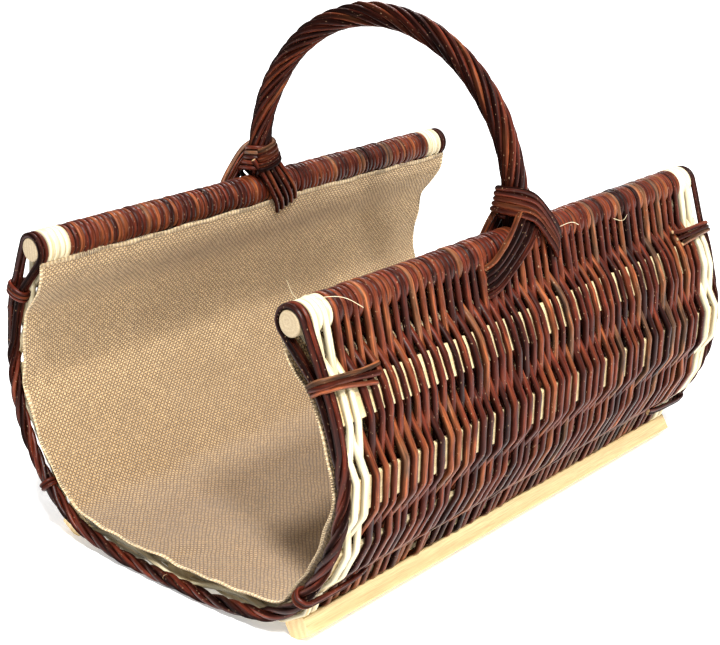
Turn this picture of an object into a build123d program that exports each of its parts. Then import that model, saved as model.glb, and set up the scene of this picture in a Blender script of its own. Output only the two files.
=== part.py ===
from build123d import *
from math import acos, atan2, cos, degrees, hypot, pi, radians, sin
import os

# Open-ended firewood basket: a trough of willow rods woven round two rails and eleven flat slats,
# with a bow handle lashed to the rails, two runners underneath and a jute liner inside.
# Millimetres. +X is across the trough, +Y along the rails, +Z up.
# The origin is on the floor, under the middle of the trough.

# --- Driving dimensions -------------------------------------------------------------------------
RAIL_LENGTH = 520.0
RAIL_DIAMETER = 20.0
RAIL_X = 147.0
RAIL_Z = 254.0
RAIL_END_ROUND = 1.5

# Cross-section of the trough: centres of the slats on the right, from the rail down, as (x, z).
RIGHT_SLAT_CENTRES = [(177.0, 195.0), (190.0, 131.0), (170.0, 73.0), (128.0, 21.5), (64.0, 10.5)]
BOTTOM_SLAT_CENTRE = (0.0, 10.0)
SLAT_WIDTH = 26.0
SLAT_THICKNESS = 4.0
SLAT_LENGTH = 500.0
SLAT_EDGE_ROUND = 0.8

ROD_DIAMETER = 4.7
ROD_GAP = 0.1
WEAVE_PITCH = 5.1
WEAVER_COUNT = 98
PALE_RODS_PER_END = 4
DARK_RODS_PER_BAY = 10
WEAVER_BEND = 12.0
WEAVER_CORNER = 15.5
WRAP_PAST_SIDE = 35.0

BORDER_ROD_Y = (253.2, 258.0)
BORDER_HALF_WIDTH = 2.6
# How far the border stands outside the slats' centres, from the rail down to the bottom slat.
BORDER_BULGE = (4.0, 5.0, 4.0, 0.0, 0.0, 0.0)
BORDER_BEND = 40.0
LOOP_NECK = 0.55

TIE_DIAMETER = 4.0
TIE_OUTER_OFFSET = 11.4
TIE_INNER_OFFSET = 9.2
TIE_OUTER_END_Y = 200.0
TIE_INNER_END_Y = 247.4
TIE_BEND = 4.8
TIE_TURN_PITCH = 4.6

RUNNER_LENGTH = 504.0
RUNNER_WIDTH = 22.0
RUNNER_THICKNESS = 15.0
RUNNER_EDGE_ROUND = 1.5
RUNNER_SLATS = (3, 7)

SCREW_DIAMETER = 3.0
SCREW_HEAD_DIAMETER = 6.0
SCREW_HEAD_DEPTH = 1.8
SCREW_SLOT = (0.8, 0.9)
SCREW_TIP_PAST_MIDDLE = 1.2
SCREW_CLEARANCE = 0.1
SCREW_RODS = (9, 35, 63, 89)

LINER_LENGTH = 492.0
LINER_THICKNESS = 1.6
LINER_CLEARANCE = 1.6
LINER_TOP = (139.0, 236.0)

HANDLE_RADIUS = 146.0
HANDLE_CENTRE_Z = 278.0
HANDLE_CORE_DIAMETER = 10.4
HANDLE_STRANDS = 9

COLLAR_RINGS = 4
COLLAR_START_ANGLE = 3.0
COLLAR_PITCH = 4.85
LASH_RODS = 5
LASH_PITCH = 4.85
LASH_BEND = 14.0
# The middle rod of a band: distance along the rail and height over the rail's centre, at its two
# ends and where it turns down over the rail. The rods beside it are shifted along the slope.
LASH_HIGH = (-8.0, 20.0)
LASH_TURN = (14.0, 7.0)
LASH_LOW = (44.0, -11.0)
LASH_SLOPE = (0.55, 0.84)

# --- Worked out from the driving dimensions -----------------------------------------------------
ROD_RADIUS = ROD_DIAMETER / 2
CREST = SLAT_THICKNESS / 2 + ROD_RADIUS + ROD_GAP
WRAP_RADIUS = RAIL_DIAMETER / 2 + ROD_RADIUS + ROD_GAP
WRAPPED_RAIL_RADIUS = WRAP_RADIUS + ROD_RADIUS
STRAND_CIRCLE = HANDLE_CORE_DIAMETER / 2 + ROD_RADIUS + ROD_GAP
HANDLE_OUTER_RADIUS = STRAND_CIRCLE + ROD_RADIUS
RUNNER_SEAT = SLAT_THICKNESS / 2 + ROD_DIAMETER + 2 * ROD_GAP


def mirrored(points):
    """The same stations on the left of the trough, in the order that a rod meets them."""
    return [(-x, z) for x, z in reversed(points)]


SLAT_CENTRES = RIGHT_SLAT_CENTRES + [BOTTOM_SLAT_CENTRE] + mirrored(RIGHT_SLAT_CENTRES)
STATIONS = [(RAIL_X, RAIL_Z)] + SLAT_CENTRES + [(-RAIL_X, RAIL_Z)]
SLAT_NAMES = (
    [f"slat_right_{n}" for n in range(1, 6)] + ["slat_bottom"] + [f"slat_left_{n}" for n in range(5, 0, -1)]
)


# --- Cross-section geometry ---------------------------------------------------------------------
def direction(a, b):
    """Unit vector from a to b in the cross-section."""
    length = hypot(b[0] - a[0], b[1] - a[1])
    return (b[0] - a[0]) / length, (b[1] - a[1]) / length


def slat_axes(index):
    """Tangent (towards the next slat) and outward normal of a slat, by its place in SLAT_CENTRES."""
    tangent = direction(STATIONS[index], STATIONS[index + 2])
    return tangent, (-tangent[1], tangent[0])


def slat_point(index, along, outward):
    """Point near a slat, given along its tangent and outward from its centre."""
    (tx, tz), (nx, nz) = slat_axes(index)
    x, z = SLAT_CENTRES[index]
    return x + along * tx + outward * nx, z + along * tz + outward * nz


def between(index, fraction, outward):
    """Point between two stations, offset outward from the straight line between them."""
    (ax, az), (bx, bz) = STATIONS[index], STATIONS[index + 1]
    tx, tz = direction((ax, az), (bx, bz))
    return ax + fraction * (bx - ax) - outward * tz, az + fraction * (bz - az) + outward * tx


def rail_centre(side):
    return side * RAIL_X, RAIL_Z


def tangent_angle(side, outer, point):
    """Angle on the wrap circle of a rail where a straight rod from point meets it."""
    cx, cz = rail_centre(side)
    dx, dz = point[0] - cx, point[1] - cz
    half = acos(WRAP_RADIUS / hypot(dx, dz))
    turn = half if outer == (side > 0) else -half
    return atan2(dz, dx) + turn


def on_wrap(side, angle):
    cx, cz = rail_centre(side)
    return cx + WRAP_RADIUS * cos(angle), cz + WRAP_RADIUS * sin(angle)


def in_section(point, y=0.0):
    return Vector(point[0], y, point[1])


def wrap_arc(side, outer, point):
    """Arc over the rail that ends where the rod leaves it for point; the rod's tip is first."""
    leave = tangent_angle(side, outer, point)
    if side > 0:
        tip = radians(180 + WRAP_PAST_SIDE) if outer else radians(-WRAP_PAST_SIDE)
    else:
        tip = radians(-WRAP_PAST_SIDE) if outer else radians(180 + WRAP_PAST_SIDE)
    leave = leave % (2 * pi) if tip < 0 else (leave + pi) % (2 * pi) - pi
    middle = (tip + leave) / 2
    arc = ThreePointArc(*[in_section(on_wrap(side, angle)) for angle in (tip, middle, leave)])
    return arc, on_wrap(side, leave)


# --- Rods ---------------------------------------------------------------------------------------
def round_rod(path, diameter):
    """A rod of constant diameter along a path of lines and tangent arcs."""
    wire = path if isinstance(path, Wire) else Wire(path.edges())
    start = Plane(origin=wire @ 0, z_dir=wire % 0)
    return sweep(start * Circle(diameter / 2), path=wire)


def weaver(starts_outside):
    """One weaving rod: over one rail, in and out of the slats, and over the other rail."""
    corners = []
    for index in range(len(SLAT_CENTRES)):
        outside = (index % 2 == 1) == starts_outside
        offset = CREST if outside else -CREST
        corners += [slat_point(index, along, offset) for along in (-WEAVER_CORNER, WEAVER_CORNER)]
    first_arc, first_point = wrap_arc(1, starts_outside, corners[0])
    last_arc, last_point = wrap_arc(-1, starts_outside, corners[-1])
    run = [in_section(p) for p in [first_point] + corners + [last_point]]
    body = FilletPolyline(*run, radius=WEAVER_BEND)
    return round_rod(Wire(first_arc.edges() + body.edges() + last_arc.edges()), ROD_DIAMETER)


def weaver_y(number):
    return (number - (WEAVER_COUNT - 1) / 2) * WEAVE_PITCH


def weavers(numbers, phases):
    return Compound([Pos(0, weaver_y(n), 0) * phases[n % 2] for n in numbers])


# --- Frame of the trough ------------------------------------------------------------------------
def rail(side):
    body = Rot(90, 0, 0) * Cylinder(RAIL_DIAMETER / 2, RAIL_LENGTH)
    body = fillet(body.edges().filter_by(GeomType.CIRCLE), RAIL_END_ROUND)
    return Pos(side * RAIL_X, 0, RAIL_Z) * body


def slat_plane(index):
    """Plane whose X runs along the slat's width and whose Z is its outward normal."""
    (tx, tz), (nx, nz) = slat_axes(index)
    return Plane(origin=in_section(SLAT_CENTRES[index]), x_dir=(tx, 0, tz), z_dir=(nx, 0, nz))


def screw(clearance=0.0):
    """Countersunk screw along -Z, with the middle of its head at the origin."""
    head = Cone(
        SCREW_DIAMETER / 2 + clearance,
        SCREW_HEAD_DIAMETER / 2 + clearance,
        SCREW_HEAD_DEPTH,
        align=(Align.CENTER, Align.CENTER, Align.MAX),
    )
    length = RUNNER_SEAT + RUNNER_THICKNESS + SCREW_TIP_PAST_MIDDLE + clearance
    shank = Cylinder(SCREW_DIAMETER / 2 + clearance, length, align=(Align.CENTER, Align.CENTER, Align.MAX))
    return head + shank


def slotted_screw():
    width, depth = SCREW_SLOT
    slot = Box(2 * SCREW_HEAD_DIAMETER, width, depth, align=(Align.CENTER, Align.CENTER, Align.MAX))
    return screw() - slot


def screw_places(index):
    """Where the screws' heads lie, flush with the outer face of a runner.

    Each screw passes under a rod that runs inside the slat, in the gap between two outer rods.
    """
    face = RUNNER_SEAT + RUNNER_THICKNESS
    return [slat_plane(index) * Pos(0, across_y(index, weaver_y(n)), face) for n in SCREW_RODS]


def across_y(index, y):
    """Coordinate along the slat plane's own Y that lies at y in the basket."""
    return y if slat_plane(index).y_dir.Y > 0 else -y


def slat(index):
    body = Box(SLAT_WIDTH, SLAT_LENGTH, SLAT_THICKNESS)
    body = slat_plane(index) * fillet(body.edges().filter_by(Axis.Y), SLAT_EDGE_ROUND)
    if index in RUNNER_SLATS:
        for place in screw_places(index):
            body -= place * screw(SCREW_CLEARANCE)
    return body


def runner(index):
    """Batten under a corner slat, with its lowest edge planed flat on the floor."""
    box = Box(RUNNER_WIDTH, RUNNER_LENGTH, RUNNER_THICKNESS, align=(Align.CENTER, Align.CENTER, Align.MIN))
    box = fillet(box.edges().filter_by(Axis.Y), RUNNER_EDGE_ROUND)
    body = slat_plane(index) * Pos(0, 0, RUNNER_SEAT) * box
    for place in screw_places(index):
        body -= place * screw(SCREW_CLEARANCE)
    floor = Box(4 * RAIL_X, 2 * RUNNER_LENGTH, RUNNER_WIDTH, align=(Align.CENTER, Align.CENTER, Align.MAX))
    return body - floor


def screws():
    """Screws through the runners into the corner slats, in the gaps between the rods."""
    return Compound([place * slotted_screw() for index in RUNNER_SLATS for place in screw_places(index)])


# --- Border of each open end --------------------------------------------------------------------
def border_side(offset):
    """Corner points of one border strand round the trough, between its two rail loops."""
    last = len(STATIONS) - 2
    bulges = BORDER_BULGE + BORDER_BULGE[-2::-1]
    points = [between(0, LOOP_NECK, offset + BORDER_BULGE[0])]
    points += [slat_point(index, 0, offset + bulge) for index, bulge in enumerate(bulges)]
    points.append(between(last, 1 - LOOP_NECK, offset + BORDER_BULGE[0]))
    return points


def border_rod(y):
    """Closed loop: out along the trough's edge, round one rail's end, back, and round the other."""
    outer = border_side(BORDER_HALF_WIDTH)
    inner = border_side(-BORDER_HALF_WIDTH)
    edges = []
    for side, end in ((1, 0), (-1, -1)):
        angles = [tangent_angle(side, True, outer[end]), tangent_angle(side, False, inner[end])]
        top = in_section(on_wrap(side, pi / 2))
        ends = [in_section(on_wrap(side, angle)) for angle in angles]
        edges += ThreePointArc(ends[0], top, ends[1]).edges()
    for is_outer, line in ((True, outer), (False, inner)):
        start = on_wrap(1, tangent_angle(1, is_outer, line[0]))
        finish = on_wrap(-1, tangent_angle(-1, is_outer, line[-1]))
        run = [in_section(p) for p in [start] + line + [finish]]
        edges += FilletPolyline(*run, radius=BORDER_BEND).edges()
    return Pos(0, y, 0) * round_rod(Wire(edges), ROD_DIAMETER)


def tie(index, fraction, end):
    """Two hairpin turns that hold the border to the weave, between two stations."""
    front_y = BORDER_ROD_Y[1] + ROD_RADIUS + TIE_DIAMETER / 2 + ROD_GAP
    corners = [
        (TIE_OUTER_OFFSET, TIE_OUTER_END_Y),
        (TIE_OUTER_OFFSET, front_y),
        (-TIE_INNER_OFFSET, front_y),
        (-TIE_INNER_OFFSET, TIE_INNER_END_Y),
    ]
    tx, tz = direction(STATIONS[index], STATIONS[index + 1])
    turns = []
    for shift in (-TIE_TURN_PITCH / 2, TIE_TURN_PITCH / 2):
        path = []
        for offset, y in corners:
            x, z = between(index, fraction, offset)
            path.append(Vector(x + shift * tx, end * y, z + shift * tz))
        turns.append(round_rod(FilletPolyline(*path, radius=TIE_BEND), TIE_DIAMETER))
    return Compound(turns)


# --- Liner --------------------------------------------------------------------------------------
def liner():
    """Jute cloth from rail to rail, lying on the inner side of the weave."""
    depth = CREST + ROD_RADIUS + LINER_CLEARANCE
    right, left = LINER_TOP, (-LINER_TOP[0], LINER_TOP[1])
    outer = [right] + [slat_point(i, 0, -depth) for i in range(len(SLAT_CENTRES))] + [left]
    inside = -depth - LINER_THICKNESS
    step = LINER_THICKNESS
    inner = [(right[0] - step, right[1])] + [slat_point(i, 0, inside) for i in range(len(SLAT_CENTRES))]
    inner += [(left[0] + step, left[1])]
    outer_line = Spline(*[in_section(p) for p in outer])
    inner_line = Spline(*[in_section(p) for p in inner])
    rims = [Line(outer_line @ 0, inner_line @ 0), Line(outer_line @ 1, inner_line @ 1)]
    face = make_face([outer_line, inner_line] + rims)
    return extrude(face, amount=LINER_LENGTH / 2, both=True)


# --- Handle -------------------------------------------------------------------------------------
def bow(offset_out, y, diameter):
    """One rod of the handle: a half circle over the trough with two straight feet on the rails."""
    radius = HANDLE_RADIUS + offset_out
    top = Vector(0, y, HANDLE_CENTRE_Z + radius)
    springs = [Vector(side * radius, y, HANDLE_CENTRE_Z) for side in (1, -1)]
    feet = [Vector(side * radius, y, RAIL_Z) for side in (1, -1)]
    edges = Line(feet[0], springs[0]).edges() + ThreePointArc(springs[0], top, springs[1]).edges()
    edges += Line(springs[1], feet[1]).edges()
    body = round_rod(Wire(edges), diameter)
    wrapped = Rot(90, 0, 0) * Cylinder(WRAPPED_RAIL_RADIUS + ROD_GAP, 2 * RAIL_X)
    below = Box(
        4 * WRAPPED_RAIL_RADIUS, 2 * RAIL_X, 2 * RAIL_DIAMETER, align=(Align.CENTER, Align.CENTER, Align.MAX)
    )
    for side in (1, -1):
        body -= Pos(side * RAIL_X, 0, RAIL_Z) * wrapped
        body -= Pos(side * RAIL_X, 0, RAIL_Z) * below
    return body


def handle_strand(number):
    angle = 2 * pi * number / HANDLE_STRANDS
    return bow(STRAND_CIRCLE * cos(angle), STRAND_CIRCLE * sin(angle), ROD_DIAMETER)


def collar(side):
    """Turns of the lashing round the foot of the handle."""
    ring = Torus(HANDLE_OUTER_RADIUS + 2 * ROD_GAP + ROD_RADIUS, ROD_RADIUS)
    inner_reach = HANDLE_RADIUS - HANDLE_OUTER_RADIUS - ROD_DIAMETER
    turns = []
    for n in range(COLLAR_RINGS):
        rise = COLLAR_START_ANGLE + n * degrees(COLLAR_PITCH / inner_reach)
        x = HANDLE_RADIUS * cos(radians(rise))
        z = HANDLE_CENTRE_Z + HANDLE_RADIUS * sin(radians(rise))
        turns.append(Pos(side * x, 0, z) * Rot(0, -side * rise, 0) * ring)
    return Compound(turns)


def lash_band(side, facing, towards, layer):
    """Five rods side by side, slanting down over the wrapped rail towards +Y or -Y.

    facing is 1 on the outer side of the rail and -1 on the inner side; layer 1 crosses over layer 0.
    """
    clear = WRAPPED_RAIL_RADIUS + ROD_RADIUS + ROD_GAP
    over = clear + layer * LASH_PITCH
    along_slope, up_slope = LASH_SLOPE
    rods = []
    for k in range(LASH_RODS):
        shift = (k - (LASH_RODS - 1) / 2) * LASH_PITCH
        path = []
        for (along, height), out in ((LASH_HIGH, over), (LASH_TURN, over), (LASH_LOW, clear)):
            x = side * (RAIL_X + facing * out)
            y = towards * (along + shift * along_slope)
            path.append(Vector(x, y, RAIL_Z + height + shift * up_slope))
        rods.append(round_rod(FilletPolyline(*path, radius=LASH_BEND), ROD_DIAMETER))
    return rods


def outer_lashing(side):
    """The two crossed bands on the outer side of a rail; the left ones are the right ones turned half round."""
    return Compound(lash_band(side, 1, side, 1) + lash_band(side, 1, -side, 0))


def inner_lashing(side):
    """The single band on the inner side of a rail."""
    return Compound(lash_band(side, -1, -side, 0))


# --- Build --------------------------------------------------------------------------------------
def build():
    nodes = {"rail_right": rail(1), "rail_left": rail(-1)}
    for index, name in enumerate(SLAT_NAMES):
        nodes[name] = slat(index)

    phases = [weaver(True), weaver(False)]
    last_pale = WEAVER_COUNT - PALE_RODS_PER_END
    nodes["pale_weavers_front"] = weavers(range(PALE_RODS_PER_END), phases)
    nodes["pale_weavers_back"] = weavers(range(last_pale, WEAVER_COUNT), phases)
    for bay, first in enumerate(range(PALE_RODS_PER_END, last_pale, DARK_RODS_PER_BAY), start=1):
        nodes[f"dark_weavers_{bay}"] = weavers(range(first, first + DARK_RODS_PER_BAY), phases)

    last = len(STATIONS) - 2
    tie_places = {
        "rail_right": (0, 0.72),
        "corner_right": (3, 0.5),
        "corner_left": (last - 3, 0.5),
        "rail_left": (last, 0.28),
    }
    for end_name, end in (("front", -1), ("back", 1)):
        for n, y in enumerate(BORDER_ROD_Y, start=1):
            nodes[f"border_{end_name}_{n}"] = border_rod(end * y)
        for place, (index, fraction) in tie_places.items():
            nodes[f"tie_{end_name}_{place}"] = tie(index, fraction, end)

    for side_name, index in zip(("right", "left"), RUNNER_SLATS):
        nodes[f"runner_{side_name}"] = runner(index)
    nodes["runner_screws"] = screws()
    nodes["liner"] = liner()

    nodes["handle_core"] = bow(0, 0, HANDLE_CORE_DIAMETER)
    for number in range(HANDLE_STRANDS):
        nodes[f"handle_strand_{number + 1}"] = handle_strand(number)
    for side, side_name in ((1, "right"), (-1, "left")):
        nodes[f"lashing_{side_name}_collar"] = collar(side)
        nodes[f"lashing_{side_name}_outside"] = outer_lashing(side)
        nodes[f"lashing_{side_name}_inside"] = inner_lashing(side)
    return nodes


def main():
    os.makedirs("parts", exist_ok=True)
    for name, shape in build().items():
        shape.label = name
        export_step(shape, f"parts/{name}.step")


main()
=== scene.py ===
from math import acos, atan2, cos, hypot, pi, radians, sin

import bpy
import numpy as np
from mathutils import Matrix, Vector


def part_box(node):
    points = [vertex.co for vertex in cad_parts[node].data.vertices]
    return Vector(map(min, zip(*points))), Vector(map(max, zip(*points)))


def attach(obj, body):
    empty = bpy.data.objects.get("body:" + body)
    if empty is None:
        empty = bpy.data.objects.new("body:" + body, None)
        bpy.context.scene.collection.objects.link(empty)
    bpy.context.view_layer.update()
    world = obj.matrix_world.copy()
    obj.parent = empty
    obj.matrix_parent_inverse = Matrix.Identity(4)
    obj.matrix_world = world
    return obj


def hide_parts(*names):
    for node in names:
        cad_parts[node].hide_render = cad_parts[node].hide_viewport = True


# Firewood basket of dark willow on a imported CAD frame. Lengths in this script are millimetres and
# become metres where a mesh is made. +X is across the trough, +Y along the rails, +Z up.

MM = 0.001
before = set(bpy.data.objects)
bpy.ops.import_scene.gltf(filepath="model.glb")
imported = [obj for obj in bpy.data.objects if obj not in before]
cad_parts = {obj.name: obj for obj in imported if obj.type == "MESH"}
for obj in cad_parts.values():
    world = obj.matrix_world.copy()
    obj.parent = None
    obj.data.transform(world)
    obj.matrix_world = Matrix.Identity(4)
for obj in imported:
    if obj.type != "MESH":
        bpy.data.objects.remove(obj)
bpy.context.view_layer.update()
random = np.random.default_rng(41)


# --- Places read from the frame -----------------------------------------------------------------
def box(node):
    """Lowest and highest corner of a CAD node."""
    low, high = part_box(node)
    return np.array(low) / MM, np.array(high) / MM


def centre(node):
    low, high = box(node)
    return (low + high) / 2


SLAT_NAMES = (
    [f"slat_right_{n}" for n in range(1, 6)]
    + ["slat_bottom"]
    + [f"slat_left_{n}" for n in range(5, 0, -1)]
)
# Centres of the rails and the slats in the cross-section (x, z), from the right rail to the left one.
STATIONS = np.array([centre(name)[[0, 2]] for name in ["rail_right"] + SLAT_NAMES + ["rail_left"]])
RAIL_X, RAIL_Z = STATIONS[0]
RAIL_RADIUS = (box("rail_right")[1][2] - box("rail_right")[0][2]) / 2
LAST_GAP = len(STATIONS) - 2
SLAT_HALF = 2.0
CAD_ROD = 4.7
ROD_RADIUS = 2.62
PALE_RADIUS = 2.5
# From a rail's centre to the centre line of a rod that lies round it.
WRAP_RADIUS = RAIL_RADIUS + CAD_ROD / 2 + 0.1


def unit(vector):
    return vector / np.linalg.norm(vector)


def slat_axes(index):
    """Tangent towards the next slat and outward normal, in the cross-section."""
    tangent = unit(STATIONS[index + 2] - STATIONS[index])
    return tangent, np.array((-tangent[1], tangent[0]))


def slat_point(index, along, outward):
    tangent, normal = slat_axes(index)
    return STATIONS[index + 1] + along * tangent + outward * normal


def between(index, fraction, outward):
    """Point on the way from one station to the next, offset outward from the line between them."""
    a, b = STATIONS[index], STATIONS[index + 1]
    tangent = unit(b - a)
    return a + fraction * (b - a) + outward * np.array((-tangent[1], tangent[0]))


# --- Lines --------------------------------------------------------------------------------------
def rounded(line, times=2):
    """Corner cutting that keeps both ends."""
    line = np.asarray(line, float)
    for _ in range(times):
        a, b = line[:-1], line[1:]
        cut = np.empty((2 * len(a), line.shape[1]))
        cut[0::2] = 0.75 * a + 0.25 * b
        cut[1::2] = 0.25 * a + 0.75 * b
        line = np.vstack([line[:1], cut, line[-1:]])
    return line


def lengths(line):
    return np.concatenate([[0.0], np.cumsum(np.linalg.norm(np.diff(line, axis=0), axis=1))])


def spaced(line, step):
    """The same line with points at even distances."""
    line = np.asarray(line, float)
    along = lengths(line)
    at = np.linspace(0, along[-1], max(4, int(along[-1] / step)))
    return np.stack([np.interp(at, along, line[:, k]) for k in range(line.shape[1])], axis=1)


def wander(along, size, wave):
    """Smooth random drift along a line."""
    total = np.zeros_like(along)
    for _ in range(4):
        total += np.sin(2 * pi * along / (wave * random.uniform(0.5, 1.7)) + random.uniform(0, 2 * pi))
    return size * total / 2.2


def towards(start, end, distance):
    """Point at a distance from start on the way to end, or just short of half way if that is nearer."""
    away = end - start
    return start + away * min(0.45, distance / np.linalg.norm(away))


def kinked(line, reach):
    """The same line with a point on either side of each corner, so that rounding stays close to it."""
    points = [line[0]]
    for before, corner, after in zip(line[:-2], line[1:-1], line[2:]):
        points += [towards(corner, before, reach), corner, towards(corner, after, reach)]
    points.append(line[-1])
    return np.array(points)


def in_space(section, y):
    """Cross-section points (x, z) at y."""
    section = np.asarray(section, float)
    return np.stack([section[:, 0], np.full(len(section), float(y)), section[:, 1]], axis=1)


# --- Rods as meshes -----------------------------------------------------------------------------
BUD_SPACING = 55


def rod_frames(line, first_side):
    """Tangents and two cross directions carried along a line without twisting."""
    tangents = np.gradient(line, axis=0)
    tangents /= np.linalg.norm(tangents, axis=1)[:, None]
    side = np.asarray(first_side, float)
    sides = np.empty_like(line)
    for n, tangent in enumerate(tangents):
        side = side - tangent * side.dot(tangent)
        side = side / np.linalg.norm(side)
        sides[n] = side
    return tangents, sides, np.cross(tangents, sides)


def bumps(along, angles, count, height):
    """Buds and knots: small swellings scattered along a rod."""
    swelling = np.zeros((len(along), len(angles)))
    for _ in range(count):
        place = random.uniform(0, along[-1])
        facing = random.uniform(0, 2 * pi)
        near = np.exp(-(((along - place) / random.uniform(1.8, 3.2)) ** 2))
        turned = np.clip(np.cos(angles - facing), 0, 1) ** 3
        swelling += height * random.uniform(0.5, 1.2) * near[:, None] * (0.25 + turned[None, :])
    return swelling


def rod_rings(line, angles, radius, wide, taper, side, buds, rough):
    """Rings of points round a line, with a smaller one past each end, and the middles of its ends."""
    along = lengths(line)
    tangents, across, up = rod_frames(line, side)
    lean = random.choice((-1, 1)) * taper
    width = radius * (1 + lean * (along / along[-1] - 0.5) * 2)
    width = width * (1 + wander(along, rough, 45))
    reach = width[:, None] + bumps(along, angles, int(buds * along[-1] / BUD_SPACING), 0.16 * radius)
    rings = (
        line[:, None, :]
        + (reach * np.cos(angles) * wide)[:, :, None] * across[:, None, :]
        + (reach * np.sin(angles))[:, :, None] * up[:, None, :]
    )
    caps, tips = [], []
    for end, sign in ((0, -1), (-1, 1)):
        middle = line[end] + tangents[end] * sign * 0.25 * radius
        caps.append(middle + (rings[end] - line[end]) * 0.8)
        tips.append(middle + tangents[end] * sign * 0.05 * radius)
    return np.concatenate([caps[0][None], rings, caps[1][None]]), np.array(tips)


def set_points(mesh, name, values):
    """Stores a number or a vector for each point of a mesh, for its material to read."""
    is_vector = values.ndim == 2
    data = mesh.attributes.new(name, "FLOAT_VECTOR" if is_vector else "FLOAT", "POINT").data
    data.foreach_set("vector" if is_vector else "value", values.ravel())


def smooth_mesh(name, points, faces, material):
    """A smooth-shaded mesh of one material, from points in millimetres."""
    mesh = bpy.data.meshes.new(name)
    mesh.from_pydata((points * MM).tolist(), [], faces)
    mesh.materials.append(material)
    mesh.polygons.foreach_set("use_smooth", [True] * len(mesh.polygons))
    return mesh


class Bundle:
    """Rods gathered into one mesh."""

    def __init__(self):
        self.verts, self.faces = [], []
        self.bark, self.tone, self.cut = [], [], []
        self.count = 0

    def rod(self, line, radius, tone, wide=1.0, taper=0.1, sides=10, step=3.0, side=(0, 1, 0), buds=1.0,
            rough=0.045):
        """Adds a rod along a line. wide stretches its section along side."""
        line = spaced(line, step)
        angles = np.arange(sides) * 2 * pi / sides
        rings, tips = rod_rings(line, angles, radius, wide, taper, side, buds, rough)
        rows = len(rings)
        self.verts += [rings.reshape(-1, 3), tips]
        self.add_faces(rows, sides)
        self.add_bark(lengths(line), angles, radius)
        self.tone.append(np.full(rows * sides + 2, tone))
        cut = np.zeros((rows, sides))
        cut[0], cut[-1] = 1, 1
        self.cut += [cut.reshape(-1), np.ones(2)]
        self.count += rows * sides + 2

    def add_faces(self, rows, sides):
        """Quads between the rings, and a fan over each end."""
        ids = self.count + np.arange(rows * sides).reshape(rows, sides)
        after = np.roll(ids, -1, axis=1)
        quads = np.stack([ids[:-1], after[:-1], after[1:], ids[1:]], axis=-1).reshape(-1, 4)
        self.faces += [tuple(quad) for quad in quads.tolist()]
        first = self.count + rows * sides
        for k in range(sides):
            self.faces.append((int(after[0, k]), int(ids[0, k]), first))
            self.faces.append((int(ids[-1, k]), int(after[-1, k]), first + 1))

    def add_bark(self, along, angles, radius):
        """Places on the bark: across the rod in x and y, and along it in z from a random start."""
        offset = random.uniform(0, 900)
        places = np.concatenate([[0.0], along, [along[-1]]]) + offset
        bark = np.empty((len(places), len(angles), 3))
        bark[:, :, 0] = np.cos(angles) * radius
        bark[:, :, 1] = np.sin(angles) * radius
        bark[:, :, 2] = places[:, None]
        self.bark += [bark.reshape(-1, 3), np.array([[0, 0, offset], [0, 0, offset + along[-1]]])]

    def piece(self, name, material, slot, *nodes):
        """Makes the object, puts it on the body and lets it stand for its CAD nodes."""
        mesh = smooth_mesh(name, np.concatenate(self.verts), self.faces, material)
        set_points(mesh, "bark", np.concatenate(self.bark) * MM)
        set_points(mesh, "tone", np.concatenate(self.tone))
        set_points(mesh, "cut", np.concatenate(self.cut))
        mesh.update()
        return place(bpy.data.objects.new(name, mesh), slot, *nodes)


def place(obj, slot, *nodes):
    bpy.context.scene.collection.objects.link(obj)
    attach(obj, "root")
    if nodes:
        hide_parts(*nodes)
    return obj


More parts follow.
